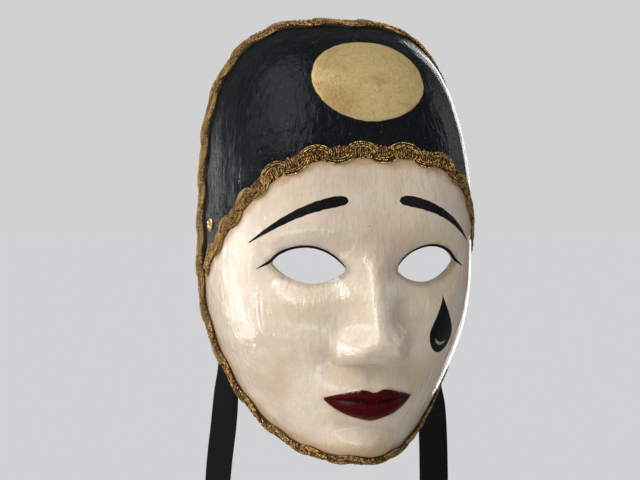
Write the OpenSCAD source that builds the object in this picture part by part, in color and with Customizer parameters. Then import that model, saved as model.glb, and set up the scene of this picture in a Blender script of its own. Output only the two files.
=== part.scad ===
// Venetian masquerade mask: a full-face papier-mache shell with a painted skullcap, gold gimp braid
// round the rim and across the forehead, a gold leaf disc, and a grosgrain ribbon hinged at each
// temple on a brass eyelet. Millimetres. The face looks along -Y, up is +Z, +X is the wearer's left.
// The origin lies on the plane of symmetry, at eye height, in the plane of the rearmost rim.

// Which sub-part to draw

/* [Head form] */
// Half the width of the shell at the temples
half_width = 75; // [68:0.5:84]
// Depth of the plain form from the rim to the front
face_depth = 90; // [80:0.5:100]
// Height of the crown's curve above the eye line
crown_height = 132; // [120:0.5:145]
// Sideways lean of the crown, towards the wearer's right when it is below zero
crown_lean = -3; // [-4:0.2:4]
// Drop of the chin's curve below the eye line
chin_drop = 130; // [118:0.5:142]
// Squareness of the crown seen from the front
crown_power = 3.0; // [2:0.05:3.6]
// Squareness of the jaw seen from the front
jaw_power = 2.0; // [1.8:0.05:2.6]
// Squareness of the form seen from above
depth_power = 2.2; // [1.8:0.05:2.6]
// How much the jaw narrows towards the chin
jaw_taper = 0.25; // [0.1:0.01:0.4]
// Angle the rim is cut forward at the crown
rim_cut_crown = 10; // [0:0.5:25]
// Angle the rim is cut forward under the chin
rim_cut_chin = 36; // [20:0.5:50]
// Thickness of the papier-mache wall
wall = 2.5; // [1.8:0.1:3.5]
// Squares across the shell's surface grid
grid = 52; // [32:2:54]

/* [Features] */
// Distance of the middle of each eye opening from the plane of symmetry
eye_spacing = 32; // [30:0.5:35]
// Half the width of an eye opening
eye_half_width = 18.5; // [16:0.25:21]
// Height of an eye opening above its middle line
eye_rise = 9.8; // [7:0.1:12]
// Depth of an eye opening below its middle line
eye_fall = 8.6; // [6:0.1:11]
// Depth of the eye sockets
socket_depth = 10; // [6:0.5:13]
// Height of the nose above the face
nose_height = 19.5; // [15:0.5:24]
// Half the width of the mouth
mouth_half_width = 24; // [20:0.5:28]
// Forward set of the mouth
muzzle_height = 10; // [6:0.5:14]
// Forward set of the chin
chin_height = 16; // [10:0.5:20]

/* [Gold leaf disc] */
// Width of the disc across the brow
disc_wide = 62; // [50:1:70]
// Height of the disc along the crown
disc_tall = 52.5; // [44:0.5:64]
// Sideways place of the disc's middle
disc_x = 2.6; // [-10:0.5:10]
// Height of the disc's middle
disc_z = 98.3; // [88:0.1:105]
// Turn of the disc in its own plane, clockwise as seen from in front
disc_tilt = 9; // [-20:1:20]
// Thickness of the leaf and its ground
disc_thick = 0.3; // [0.2:0.05:0.6]

/* [Gimp braid] */
// Width of the braid
braid_width = 11.5; // [7:0.25:13]
// Height of the braid along its middle
braid_height = 2.0; // [1.2:0.1:3]
// Height of the braid along its edges
braid_edge = 1.1; // [0.6:0.1:2]
// Gap of glue between the braid and the paint
braid_lift = 0.15; // [0.1:0.05:0.4]
// Distance of the rim braid's outer edge from the rim
rim_inset = 0.3; // [0:0.1:2]
// Extra height of the rim braid along the rim, where it covers the folded paper, except at the chin
rim_rise = 1.2; // [0:0.1:3.5]
// Share of its width that the rim braid loses under the jaw, where it folds over the rim
rim_narrow = 0.34; // [0:0.02:0.5]
// Depth of the scallops along the braid's edges
scallop_depth = 0.5; // [0:0.05:1]
// Height of the forehead braid's plane where it would meet the rim
brow_line_low = -14; // [-20:0.5:0]
// Rise of the forehead braid from there to the front
brow_line_rise = 72.2; // [60:0.1:85]

/* [Eyelets] */
// Distance of each eyelet in front of the rim's plane
eyelet_forward = 23; // [18:0.5:30]
// Height of the eyelets above the eye line
eyelet_z = 20; // [15:0.5:26]
// Turn of the eyelet's axis towards the front
eyelet_turn = 5; // [0:0.5:10]
// Radius of the eyelet's flange
flange_radius = 3.8; // [3.2:0.1:5]
// Outside radius of the eyelet's barrel
barrel_radius = 2.5; // [2.2:0.05:3]
// Radius of the hole through the eyelet
bore_radius = 2.0; // [1.6:0.05:2.4]
// Running clearance of the shell and the ribbon on the barrel
barrel_play = 0.08; // [0.04:0.01:0.1]
// Radius of the washer inside the mask
washer_radius = 5.0; // [4:0.1:7]

/* [Ribbons] */
// Width of the grosgrain ribbon
ribbon_width = 20; // [12:0.5:25]
// Thickness of the ribbon
ribbon_thick = 0.5; // [0.3:0.05:0.8]
// Gap between the wall and the ribbon at the eyelet
ribbon_gap = 1.9; // [1.2:0.1:2.5]

/* [Hidden] */
$fn = 64;
rim_rings = 150;
brow_rings = 64;
ribbon_steps = 4;

// Middle line of each ribbon from its free end above the eyelet, as steps back, up and out from the
// middle of the tab, and the turn of the ribbon about its length. Both follow the wall to the jaw,
// pass behind the rim there and hang plumb; the right one drifts out a little.
left_route = [[-0.2, -2.5, 8.7, 0], [0, 0, 0, 0], [0.3, 3.3, -11.5, 0], [0.2, 8.2, -29, 0],
    [-2.8, 13, -46, 0], [-7, 18, -64, 3], [-10, 23, -80, 10], [-8.8, 25, -96, 30], [-7.6, 25.5, -112, 39],
    [-7, 25.5, -150, 40], [-7, 25.5, -220, 40], [-7, 25.5, -320, 40], [-7, 25.5, -436, 40]];
right_route = [[-0.2, -2.5, 8.7, 0], [0, 0, 0, 0], [0.3, 3.3, -11.5, 0], [0.2, 8.2, -29, 0],
    [-2.4, 13, -46, 0], [-6, 18, -64, -4], [-8.5, 22.5, -80, -14], [-8, 25, -96, -26], [-7, 26, -112, -30],
    [-4, 28, -150, -30], [-2, 29.5, -220, -28], [-3, 29, -320, -26], [-4, 28.5, -436, -26]];

// ---- The face as a surface ----
function clamp(t, a = 0, b = 1) = min(max(t, a), b);
function ease(t) = let (c = clamp(t)) c * c * (3 - 2 * c);
function bump(x, z, cx, cz, sx, sz, p = 2) =
    exp(-(pow(abs((x - cx) / sx), p) + pow(abs((z - cz) / sz), p)));
function pair(x, z, cx, cz, sx, sz, p = 2) = bump(abs(x), z, cx, cz, sx, sz, p);

function taper(z) = 1 - jaw_taper * pow(clamp(-z / 120, 0, 1.2), 2.2);

// The bridge, tip and wings of the nose
function nose(x, z) = let (
    t = clamp((15 - z) / 53.5),
    u = clamp((-38.5 - z) / 13),
    v = clamp((-43 - z) / 9.5),
    ridge = nose_height * (0.85 * t + 0.15 * t * t) * ease(t / 0.3) * pow(1 - pow(u, 2.2), 0.8)
) ridge * exp(-pow(abs(x) / (9 + 2.4 * pow(t, 2.5)), 2.3))
    + 9.5 * pair(x, z, 12, -43.5, 6.4, 8.5, 2.4) * (1 - pow(v, 2.5))
    + 1.2 * bump(x, z, 0, -38, 9, 8);

// Two full lips either side of a shallow line
function lips(x, z) = let (
    u = clamp(abs(x) / mouth_half_width),
    line = -70.5 + 1.5 * u * u - 0.8 * exp(-pow(x / 5, 2)),
    upper = line + 7.4 * (1 - pow(u, 1.7)) - 1.6 * exp(-pow(x / 3.4, 2)),
    lower = line - 9.8 * pow(1 - u * u, 0.8),
    tu = (z - line) / max(upper - line, 0.3),
    tl = (line - z) / max(line - lower, 0.3),
    h = z > line ? 2.3 * exp(-pow(abs((tu - 0.5) / 0.5), 2.6)) : 3.2 * exp(-pow(abs((tl - 0.5) / 0.55), 2.6))
) (h - 0.9 * exp(-pow((z - line) / 1.5, 2))) * (1 - pow(u, 3));

// Everything that stands out of or sinks into the plain form; the inside of the mask has no lips
function relief(x, z, outside) =
    - socket_depth * pair(x, z, 31, -1, 20, 13.5, 2.3)
    + 1.5 * pair(x, z, 26, 19, 24, 8)
    + 4.5 * pair(x, z, 42, -30, 20, 18)
    - 2.0 * pair(x, z, 42, -68, 15, 17)
    + muzzle_height * bump(x, z, 0, -69, 28, 21)
    + chin_height * bump(x, z, 0, -100, 24, 15)
    - 3.2 * bump(x, z, 0, -85, 16, 5)
    - 1.6 * bump(x, z, 0, -57, 3.2, 6)
    - 2.0 * pair(x, z, 21, -49, 6, 9)
    + nose(x, z) + (outside ? lips(x, z) : 0);

// Sideways shift of the crown at height z
function lean(z) = crown_lean * ease((z - 25) / 75);

// Exponent and reach of the outline in a direction round the face
function outline_power(s) = jaw_power + (crown_power - jaw_power) * ease((s + 0.5) / 1.2);
function reach(c, s) = let (p = outline_power(s)) pow(pow(abs(c), p) + pow(abs(s), p), -1 / p);
function upright(s) = s > 0 ? crown_height : chin_drop;
function rim_angle(s) = 90 - (s > 0 ? rim_cut_crown : rim_cut_chin) * pow(abs(s), 2.4);

// Point of the outer surface, r from 0 in the middle to 1 on the rim, a round it from +X
function skin(r, a, outside = true) = let (
    c = cos(a), s = sin(a), q = reach(c, s),
    rho = sin(r * rim_angle(s)),
    z = upright(s) * q * rho * s,
    x = half_width * q * rho * c * taper(z) + lean(z),
    f = face_depth * pow(max(1 - pow(rho, outline_power(s)), 0), 1 / depth_power)
) [x, -f - relief(x, z, outside), z];

// Below zero inside the form, above zero in front of it
function level(p, outside = true) = let (
    u = (p[0] - lean(p[2])) / (half_width * taper(p[2])), w = p[2] / upright(p[2]),
    d = max(norm([u, w]), 1e-9), s = w / d, c = u / d
) pow(d / reach(c, s), outline_power(s))
    + pow(max(-p[1] - relief(p[0], p[2], outside), 0) / face_depth, depth_power) - 1;
function slope(p, outside = true) = let (e = 0.02) [for (k = [0:2])
    let (d = [k == 0 ? e : 0, k == 1 ? e : 0, k == 2 ? e : 0])
    (level(p + d, outside) - level(p - d, outside)) / (2 * e)];
function unit(v) = v / norm(v);
function normal_at(p, outside = true) = unit(slope(p, outside));
// Slide a point along n until it lies on the surface
function onto(p, n, steps = 4) = steps == 0 ? p :
    onto(p - n * level(p) / (slope(p) * n), n, steps - 1);

// ---- Paper shell ----
// Grid lines crowd together over the nose and mouth
function across_line(i) = let (u = 2 * i / grid - 1) u * (0.72 + 0.28 * u * u);
function upward_line(j) = let (u = 2 * j / grid - 1, v = u * (0.8 + 0.2 * u * u)) v + 0.22 * (v * v - 1);
function disc_point(u, w) = [u * sqrt(1 - w * w / 2), w * sqrt(1 - u * u / 2)];
function shell_point(i, j, outside) = let (
    d = disc_point(across_line(i), upward_line(j)), r = min(norm(d), 1), a = atan2(d[1], d[0]),
    p = skin(r, a, outside)
) outside ? p : p - wall * normal_at(p, false);

module shell_body() {
    n = grid + 1;
    outer = [for (j = [0:grid]) for (i = [0:grid]) shell_point(i, j, true)];
    inner = [for (j = [0:grid]) for (i = [0:grid]) shell_point(i, j, false)];
    m = n * n;
    ring = [for (i = [0:grid - 1]) i, for (j = [0:grid - 1]) j * n + grid,
            for (i = [grid:-1:1]) grid * n + i, for (j = [grid:-1:1]) j * n];
    k = len(ring);
    polyhedron(points = concat(outer, inner), faces = [
        for (j = [0:grid - 1]) for (i = [0:grid - 1]) let (a = j * n + i, turn = (i < grid / 2) == (j < grid / 2))
            for (f = turn ? [[a, a + n, a + n + 1], [a, a + n + 1, a + 1]]
                          : [[a, a + n, a + 1], [a + 1, a + n, a + n + 1]]) f,
        for (j = [0:grid - 1]) for (i = [0:grid - 1]) let (a = m + j * n + i, turn = (i < grid / 2) == (j < grid / 2))
            for (f = turn ? [[a, a + n + 1, a + n], [a, a + 1, a + n + 1]]
                          : [[a, a + 1, a + n], [a + 1, a + n + 1, a + n]]) f,
        for (i = [0:k - 1]) let (a = ring[i], b = ring[(i + 1) % k])
            for (f = [[a, b, b + m], [a, b + m, a + m]]) f]);
}

// Almond opening, x outward from the plane of symmetry
function eye_middle(u) = -0.5 + 1.8 * u;
module eye_opening() {
    steps = 16;
    us = [for (i = [0:steps]) -cos(180 * i / steps)];
    polygon(concat(
        [for (u = us) [eye_spacing + eye_half_width * u, eye_middle(u) + eye_rise * pow(1 - u * u, 0.8)]],
        [for (i = [steps - 1:-1:1]) let (u = us[i])
            [eye_spacing + eye_half_width * u, eye_middle(u) - eye_fall * pow(1 - u * u, 0.85)]]));
}

module paper_shell() color("Linen") difference() {
    shell_body();
    for (side = [0, 1]) mirror([side, 0, 0]) {
        translate([0, -50, 0]) rotate([90, 0, 0]) linear_extrude(height = 60) eye_opening();
        at_eyelet() translate([0, 0, -wall - 3])
            cylinder(h = wall + 6, r = barrel_radius + barrel_play);
    }
}

// ---- Gold leaf disc ----
disc_middle = onto([disc_x, -72, disc_z], [0, 1, 0], 8);
disc_normal = normal_at(disc_middle);
disc_across = unit(cross(disc_normal, [1, 0, 0]));
disc_rings = 7;
disc_turns = 48;
function disc_at(i, j) = 1 + (i - 1) * disc_turns + j % disc_turns;
module gold_disc() color("Gold") {
    rings = disc_rings;
    turns = disc_turns;
    e1 = cross(disc_across, disc_normal);
    spots = [[0, 0], for (i = [1:rings]) for (j = [0:turns - 1])
        let (u = i / rings / 2 * disc_wide * cos(360 * j / turns),
             v = i / rings / 2 * disc_tall * sin(360 * j / turns))
        [u * cos(disc_tilt) + v * sin(disc_tilt), v * cos(disc_tilt) - u * sin(disc_tilt)]];
    low = [for (q = spots) let (p = onto(disc_middle + e1 * q[0] + disc_across * q[1], disc_normal))
        p + normal_at(p) * 0.08];
    high = [for (p = low) p + normal_at(p) * disc_thick];
    m = len(spots);
    polyhedron(points = concat(low, high), faces = [
        for (j = [0:turns - 1]) for (f = [[0, disc_at(1, j), disc_at(1, j + 1)],
            [m, m + disc_at(1, j + 1), m + disc_at(1, j)]]) f,
        for (i = [1:rings - 1]) for (j = [0:turns - 1])
            let (a = disc_at(i, j), b = disc_at(i, j + 1), c = disc_at(i + 1, j), d = disc_at(i + 1, j + 1))
            for (f = [[a, c, d], [a, d, b], [m + a, m + d, m + c], [m + a, m + b, m + d]]) f,
        for (j = [0:turns - 1]) let (a = disc_at(rings, j), b = disc_at(rings, j + 1))
            for (f = [[a, m + a, m + b], [a, m + b, b]]) f]);
}

// ---- Gimp braid ----
// Section of the braid: place across the width from -1 to 1, and height above the paint, with some
// rise more towards -1
function braid_section(rise) = [
    for (k = [-2:2]) [k / 2, braid_lift],
    for (k = [2:-1:-2]) [k / 2, braid_lift + braid_edge + (braid_height - braid_edge) * (1 - k * k / 4)
        + rise * pow((2 - k) / 4, 1.3)]];
// A ring of the braid at a point on the surface, t along the braid
function braid_ring(p, t, half, rise = 0) = let (n = normal_at(p), b = unit(cross(n, t)))
    [for (q = braid_section(rise)) let (g = onto(p + b * (half * q[0]), n)) g + normal_at(g) * q[1]];
function rim_point(a) = skin(1, a);
function wavy(i) = braid_width / 2 - scallop_depth * (i % 2);

// Skin through rings of points, closed on itself or capped at its ends
module sweep(rings, closed) {
    m = len(rings[0]);
    k = len(rings);
    last = closed ? k - 1 : k - 2;
    polyhedron(points = [for (r = rings) for (p = r) p], faces = [
        for (i = [0:last]) for (j = [0:m - 1])
            let (a = i * m + j, b = i * m + (j + 1) % m, c = (i + 1) % k * m + j,
                 d = (i + 1) % k * m + (j + 1) % m) for (f = [[a, c, d], [a, d, b]]) f,
        if (!closed) for (j = [1:m - 2]) [0, j, j + 1],
        if (!closed) for (j = [1:m - 2]) [(k - 1) * m, (k - 1) * m + j + 1, (k - 1) * m + j]]);
}

// Extra height of the rim braid at angle a, least under the chin
function rim_rise_at(a) = rim_rise * (1 - 0.9 * exp(-pow((1 + sin(a)) / 0.25, 2)));
// Share of its full width that the rim braid has at angle a
function rim_share_at(a) = 1 - rim_narrow * ease((-sin(a) - 0.3) / 0.45);
module rim_braid() color("DarkGoldenrod") sweep([
    for (i = [0:rim_rings - 1]) let (
        a = 360 * i / rim_rings - 90, p = rim_point(a),
        t = unit(rim_point(a + 0.3) - rim_point(a - 0.3)), n = normal_at(p),
        b = unit(cross(n, t)), w = rim_share_at(a), g = onto(p + b * (rim_inset + w * braid_width / 2), n))
    [for (q = braid_ring(g, t, w * wavy(i), rim_rise_at(a))) [q[0], min(q[1], 0), q[2]]]], true);

// The line the forehead braid follows: height as a function of depth
function brow_height(y) = brow_line_low + brow_line_rise * pow(max(-y, 0) / 86, 1.15);
function brow_find(a, near, far, steps = 18) = let (
    d = (near + far) / 2, y = -d * cos(a), p = [d * sin(a), y, brow_height(y)]
) steps == 0 ? p : level(p) < 0 ? brow_find(a, d, far, steps - 1) : brow_find(a, near, d, steps - 1);
function brow_point(a) = brow_find(a, 40, 110);
// Turn of the forehead braid's ends from straight ahead
brow_end = 78.5;
module forehead_braid() color("Goldenrod") sweep([
    for (i = [0:brow_rings]) let (
        a = brow_end * (2 * i / brow_rings - 1), t = unit(brow_point(a + 0.3) - brow_point(a - 0.3)))
    braid_ring(brow_point(a), t, wavy(i))], false);

// ---- Eyelets and washers ----
// Where an eyelet's axis passes through the outer surface, and the frame with +Z outward along it
eyelet_seat = onto([half_width, -eyelet_forward, eyelet_z], [1, 0, 0], 8);
module at_eyelet() translate(eyelet_seat) rotate([0, 0, -eyelet_turn]) rotate([0, 90, 0]) children();

ribbon_face = -wall - ribbon_gap;
washer_top = ribbon_face - ribbon_thick - 0.35;
washer_thick = 0.6;
roll_top = washer_top - washer_thick - 0.05;

module eyelet() color("Gold") at_eyelet() rotate_extrude()
    polygon([
        [bore_radius, roll_top - 0.6], [barrel_radius + 0.9, roll_top - 0.45], [barrel_radius + 0.9, roll_top],
        [barrel_radius, roll_top], [barrel_radius, 0.35], [flange_radius, 0.35], [flange_radius, 0.7],
        [flange_radius - 0.8, 1.15], [bore_radius + 0.5, 1.15], [bore_radius, 0.6]]);
module washer() color("Goldenrod") at_eyelet() translate([0, 0, washer_top - washer_thick])
    difference() {
        cylinder(h = washer_thick, r = washer_radius);
        translate([0, 0, -1]) cylinder(h = washer_thick + 2, r = barrel_radius);
    }

module eyelet_left() eyelet();
module eyelet_right() mirror([1, 0, 0]) eyelet();
module washer_left() washer();
module washer_right() mirror([1, 0, 0]) washer();

// ---- Ribbons ----
ribbon_out = [cos(eyelet_turn), -sin(eyelet_turn), 0];
tab_middle = eyelet_seat + ribbon_out * (ribbon_face - ribbon_thick / 2);

// Smooth curve through the points of a route
function route_at(r, i, t) = let (a = r[max(i - 1, 0)], b = r[i], c = r[i + 1], d = r[min(i + 2, len(r) - 1)])
    b + ((c - a) * t + (2 * a - 5 * b + 4 * c - d) * t * t + (3 * b - a - 3 * c + d) * t * t * t) / 2;
function route_points(r) = [for (i = [0:len(r) - 2]) for (k = [0:ribbon_steps - 1])
    route_at(r, i, k / ribbon_steps), r[len(r) - 1]];
function place(q) = [q[0], q[1], q[2]];

module ribbon(route) color("DimGray") difference() {
    points = route_points(route);
    k = len(points);
    sweep([for (i = [0:k - 1]) let (
        q = points[i], along = unit(place(points[max(i - 1, 0)] - points[min(i + 1, k - 1)])),
        face = q[3] - eyelet_turn, across = [-sin(face), cos(face), 0],
        w = unit(across - along * (across * along)), n = cross(along, w))
        [for (e = [[-1, -1], [-1, 1], [1, 1], [1, -1]])
            tab_middle + place(q) + w * (e[0] * ribbon_width / 2) + n * (e[1] * ribbon_thick / 2)]], false);
    at_eyelet() translate([0, 0, ribbon_face - 3]) cylinder(h = 5, r = barrel_radius + barrel_play);
}
module ribbon_left() ribbon(left_route);
module ribbon_right() mirror([1, 0, 0]) ribbon(right_route);

paper_shell();
gold_disc();
rim_braid();
forehead_braid();
eyelet_left();
eyelet_right();
washer_left();
washer_right();
ribbon_left();
ribbon_right();
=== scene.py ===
"""Looks of a full-face masquerade mask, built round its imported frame.

The face surface is a formula in millimetres, the same one that shapes the CAD shell. Meshes are made
in millimetres and stored in metres. +X is the wearer's left, the face looks along -Y, +Z is up.
"""
import math

import bpy
import numpy as np
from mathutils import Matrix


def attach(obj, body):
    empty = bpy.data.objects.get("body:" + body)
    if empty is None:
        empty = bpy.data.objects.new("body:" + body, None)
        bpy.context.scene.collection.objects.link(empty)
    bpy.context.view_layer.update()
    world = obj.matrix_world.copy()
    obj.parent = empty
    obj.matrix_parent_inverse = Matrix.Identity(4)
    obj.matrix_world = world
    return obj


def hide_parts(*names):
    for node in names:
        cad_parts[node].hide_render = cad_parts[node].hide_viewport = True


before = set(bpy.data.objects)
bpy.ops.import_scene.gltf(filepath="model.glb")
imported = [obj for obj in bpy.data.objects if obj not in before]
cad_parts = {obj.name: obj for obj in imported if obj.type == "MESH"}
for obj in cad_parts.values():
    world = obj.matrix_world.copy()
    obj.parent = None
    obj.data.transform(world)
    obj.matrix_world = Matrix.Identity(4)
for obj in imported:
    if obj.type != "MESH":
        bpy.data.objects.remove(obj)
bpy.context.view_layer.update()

MM = 0.001
TAU = 2 * math.pi
SIDES = ((1, "left"), (-1, "right"))


# ---- Camera ----
def aim(thing, azimuth, elevation, distance=0.0, target=(0, 0, 0)):
    """Puts a camera or lamp at a distance from its target, looking at it.

    Azimuth 0 is in front of the face, and grows towards the wearer's left.
    """
    a, e = math.radians(azimuth), math.radians(elevation)
    away = np.array([math.sin(a) * math.cos(e), -math.cos(a) * math.cos(e), math.sin(e)])
    thing.location = np.array(target) + away * distance
    thing.rotation_euler = (math.pi / 2 - e, 0, a)
    bpy.context.scene.collection.objects.link(thing)


def make_camera():
    """Looks from the wearer's right, a little above the eye line, with a long lens."""
    data = bpy.data.cameras.new("photo_camera")
    data.sensor_width = 36
    data.lens = 93.75
    data.shift_x, data.shift_y = -0.05, 0.034
    data.clip_end = 60
    camera = bpy.data.objects.new("photo_camera", data)
    aim(camera, -15, 3, 0.9, (0.0, -0.045, 0.0))
    bpy.context.scene.camera = camera


make_camera()


# ---- Mesh helpers ----
def unit(v):
    return v / np.maximum(np.linalg.norm(v, axis=-1, keepdims=True), 1e-12)


def dot(a, b):
    return np.sum(a * b, axis=-1)


def ease(t):
    t = np.clip(t, 0, 1)
    return t * t * (3 - 2 * t)


def circle(count):
    """Cosines and sines of equal turns."""
    turn = np.arange(count) * TAU / count
    return np.cos(turn), np.sin(turn)


def make_piece(name, points, groups, materials, body, replaces=(), uv=None, values=None, sharp=None):
    """A mesh from points in mm and groups of (faces, material index); uv holds one pair per face corner."""
    mesh = bpy.data.meshes.new(name)
    used, corners = np.unique(np.concatenate([faces.ravel() for faces, _ in groups]), return_inverse=True)
    sizes = np.concatenate([np.full(len(faces), faces.shape[1]) for faces, _ in groups])
    kinds = np.concatenate([np.full(len(faces), kind) for faces, kind in groups])
    mesh.vertices.add(len(used))
    mesh.vertices.foreach_set("co", (points[used] * MM).astype(np.float32).ravel())
    mesh.loops.add(len(corners))
    mesh.loops.foreach_set("vertex_index", corners.astype(np.int32))
    mesh.polygons.add(len(sizes))
    mesh.polygons.foreach_set("loop_start", (np.cumsum(sizes) - sizes).astype(np.int32))
    mesh.polygons.foreach_set("material_index", kinds.astype(np.int32))
    if uv is not None:
        mesh.uv_layers.new(name="UVMap").data.foreach_set("uv", uv.astype(np.float32).ravel())
    for key, value in (values or {}).items():
        layer = mesh.attributes.new(key, "FLOAT", "POINT")
        layer.data.foreach_set("value", value[used].astype(np.float32))
    mesh.update(calc_edges=True)
    mesh.validate()
    mesh.polygons.foreach_set("use_smooth", np.ones(len(mesh.polygons), dtype=bool))
    if sharp:
        mesh.set_sharp_from_angle(angle=math.radians(sharp))
    for material in materials:
        mesh.materials.append(material)
    piece = bpy.data.objects.new(name, mesh)
    bpy.context.scene.collection.objects.link(piece)
    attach(piece, body)
    if replaces:
        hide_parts(*replaces)
    return piece


def cells(rows, columns, wrap_rows, wrap_columns):
    """Row and column of every cell of a grid of points."""
    grid = np.indices((rows if wrap_rows else rows - 1, columns if wrap_columns else columns - 1))
    return grid[0].ravel(), grid[1].ravel()


def grid_faces(rows, columns, wrap_rows=False, wrap_columns=False):
    """Quads of a grid of points stored row by row."""
    i, j = cells(rows, columns, wrap_rows, wrap_columns)
    down, right = (i + 1) % rows, (j + 1) % columns
    return np.stack([i * columns + j, i * columns + right, down * columns + right, down * columns + j], -1)


def bar_faces(rows, sides, closed, u, v):
    """Quads and corner uv of a bar of rings of points. u goes round it and v along it.

    A bar that isn't closed on itself gets flat ends, in quads too, since its rings have an even number of points.
    """
    faces = grid_faces(rows, sides, closed, True)
    i, j = cells(rows, sides, closed, True)
    uv = np.stack([np.stack([u[j + b], v[i + a]], -1) for a, b in ((0, 0), (0, 1), (1, 1), (1, 0))], 1)
    if not closed:
        first = np.arange(sides // 2 - 1)
        end = np.stack([first, first + 1, sides - 2 - first, sides - 1 - first], -1)
        faces = np.concatenate([faces, end[:, ::-1], end + (rows - 1) * sides])
        uv = np.concatenate([uv, np.zeros((2 * len(end), 4, 2))])
    return faces, uv


def facing_out(faces, points, normals, sample=0):
    """The faces, turned over if the sample one looks against its normal."""
    a, b, c = points[faces[sample, :3]]
    return faces[:, ::-1] if dot(np.cross(b - a, c - b), normals[faces[sample, 0]]) < 0 else faces


def lengths_along(points, closed=False):
    """Distance along a line of points, starting at 0."""
    line = np.concatenate([points, points[:1]]) if closed else points
    return np.concatenate([[0], np.cumsum(np.linalg.norm(np.diff(line, axis=0), axis=1))])


def smooth_through(points, steps):
    """Catmull-Rom curve through rows of values, with that many steps from each to the next."""
    p = np.vstack([2 * points[0] - points[1], points, 2 * points[-1] - points[-2]])
    t = (np.arange(steps) / steps)[:, None]
    parts = [0.5 * (2 * b + (c - a) * t + (2 * a - 5 * b + 4 * c - d) * t ** 2 + (3 * b - a - 3 * c + d) * t ** 3)
             for a, b, c, d in zip(p[:-3], p[1:-2], p[2:-1], p[3:])]
    return np.vstack([*parts, points[-1:]])


def rows_at(at, run, rows):
    return np.stack([np.interp(at, run, column) for column in rows.T], -1)


def resample(line, count):
    """That many rows at equal distances along a line whose first three columns are a place."""
    run = lengths_along(line[:, :3])
    return rows_at(np.linspace(0, run[-1], count), run, line)


def tube(centres, normals, radius, closed=False, sides=6):
    """Points, quads and corner uv (turns round, mm along) of a tube with flat ends or none."""
    if closed:
        along = unit(np.roll(centres, -1, 0) - np.roll(centres, 1, 0))
    else:
        along = unit(np.gradient(centres, axis=0))
    side = unit(np.cross(normals, along))
    up = np.cross(along, side)
    c, s = circle(sides)
    rings = centres[:, None] + radius * (c[:, None] * side[:, None] + s[:, None] * up[:, None])
    faces, uv = bar_faces(len(centres), sides, closed, np.arange(sides + 1) / sides, lengths_along(centres, closed))
    return rings.reshape(-1, 3), faces, uv


def closed_sheet(front, back, sheets, normals, rows=0, bulge=0.0):
    """A solid from two matching sheets of points: all its points, the faces of its back and those of its wall.

    The wall follows the free edges of the sheets' faces, with that many rows of points, standing out by bulge.
    """
    edges = np.concatenate([np.stack([f, np.roll(f, -1, 1)], -1).reshape(-1, 2) for f in sheets])
    size = int(edges.max()) + 1
    a, b = edges[~np.isin(edges[:, 0] * size + edges[:, 1], edges[:, 1] * size + edges[:, 0])].T
    used = np.unique(a)
    order = np.zeros(len(front), int)
    order[used] = np.arange(len(used))
    push = np.zeros_like(front)
    for end in (a, b):
        np.add.at(push, end, unit(np.cross(front[b] - front[a], normals[a])))
    push = unit(push[used]) * bulge
    layers = [front, back]
    for t in np.arange(1, rows + 1) / (rows + 1):
        layers.append(front[used] * (1 - t) + back[used] * t + push * math.sin(math.pi * t) ** 0.6)

    def row(k, which):
        if k in (0, rows + 1):
            return which + (len(front) if k else 0)
        return 2 * len(front) + (k - 1) * len(used) + order[which]

    wall = [np.stack([row(k, b), row(k, a), row(k + 1, a), row(k + 1, b)], -1) for k in range(rows + 1)]
    return np.concatenate(layers), [f[:, ::-1] + len(front) for f in sheets], np.concatenate(wall)


# ---- The face as a surface, in mm ----
HALF_WIDTH, FACE_DEPTH, CROWN, CHIN = 75.0, 90.0, 132.0, 130.0
CROWN_POWER, JAW_POWER, DEPTH_POWER, JAW_TAPER = 3.0, 2.0, 2.2, 0.25
CUT_CROWN, CUT_CHIN, CROWN_LEAN = 10.0, 36.0, -3.0
WALL = 2.5
MOUTH = 24.0
EYE_X, EYE_HALF, EYE_RISE, EYE_FALL = 32.0, 18.5, 9.8, 8.6


def bump(x, z, cx, cz, sx, sz, p=2.0):
    return np.exp(-(np.abs((x - cx) / sx) ** p + np.abs((z - cz) / sz) ** p))


def pair(x, z, cx, cz, sx, sz, p=2.0):
    return bump(np.abs(x), z, cx, cz, sx, sz, p)


def taper(z):
    return 1 - JAW_TAPER * np.clip(-z / 120, 0, 1.2) ** 2.2


def lean(z):
    """Sideways shift of the crown."""
    return CROWN_LEAN * ease((z - 25) / 75)


def nose(x, z):
    t = np.clip((15 - z) / 53.5, 0, 1)
    u = np.clip((-38.5 - z) / 13, 0, 1)
    v = np.clip((-43 - z) / 9.5, 0, 1)
    ridge = 19.5 * (0.85 * t + 0.15 * t * t) * ease(t / 0.3) * (1 - u ** 2.2) ** 0.8
    return (ridge * np.exp(-(np.abs(x) / (9 + 2.4 * t ** 2.5)) ** 2.3)
            + 9.5 * pair(x, z, 12, -43.5, 6.4, 8.5, 2.4) * (1 - v ** 2.5)
            + 1.2 * bump(x, z, 0, -38, 9, 8))


def lip_lines(x):
    """Upper edge, meeting line and lower edge of the lips."""
    u = np.clip(np.abs(x) / MOUTH, 0, 1)
    line = -70.5 + 1.5 * u * u - 0.8 * np.exp(-(x / 5) ** 2)
    upper = line + 7.4 * (1 - u ** 1.7) - 1.6 * np.exp(-(x / 3.4) ** 2)
    return upper, line, line - 9.8 * (1 - u * u) ** 0.8


def lips(x, z):
    upper, line, lower = lip_lines(x)
    above = (z - line) / np.maximum(upper - line, 0.3)
    below = (line - z) / np.maximum(line - lower, 0.3)
    height = np.where(z > line, 2.3 * np.exp(-np.abs((above - 0.5) / 0.5) ** 2.6),
                      3.2 * np.exp(-np.abs((below - 0.5) / 0.55) ** 2.6))
    height = height - 0.9 * np.exp(-((z - line) / 1.5) ** 2)
    return height * (1 - np.clip(np.abs(x) / MOUTH, 0, 1) ** 3)


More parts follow.
